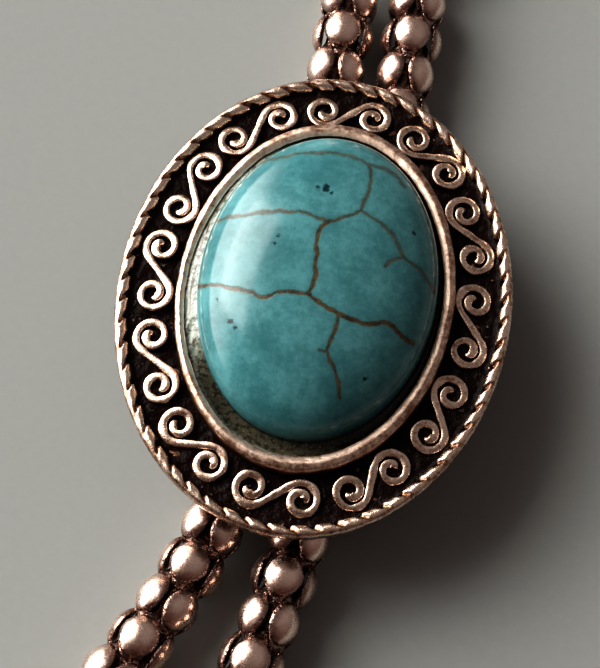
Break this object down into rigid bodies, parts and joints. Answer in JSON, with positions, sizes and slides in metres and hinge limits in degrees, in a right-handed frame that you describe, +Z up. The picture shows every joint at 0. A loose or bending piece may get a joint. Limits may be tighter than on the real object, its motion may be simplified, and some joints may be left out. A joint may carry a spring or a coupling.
{
  "type": "slide pendant necklace",
  "caption": "Necklace of knobbly popcorn chain with free tails, whose oval slide holds a turquoise cabochon in a smooth bezel with a scrolled, rope-edged border.",
  "frame": {"origin": "on the surface the necklace lies on, at the middle of the flat underside of the slide's back strap", "axes": "+Y along the slide's long axis towards the neck loop, +Z up out of the stone, +X to the right seen from above"},
  "size_m": [0.1794, 0.3075, 0.0136],
  "materials": {
    "stone": "polished opaque turquoise with brown veins",
    "setting_metal": "antiqued warm silver-copper plating, black in the recesses",
    "chain_metal": "polished rose-silver plating, dark between the domes"
  },
  "bodies": {
    "root": {"stone": "stone", "setting": "setting_metal", "strand_left": "chain_metal", "strand_right": "chain_metal", "neck_chain": "chain_metal", "end_cap_left": "chain_metal", "end_cap_right": "chain_metal"}
  },
  "joints": []
}
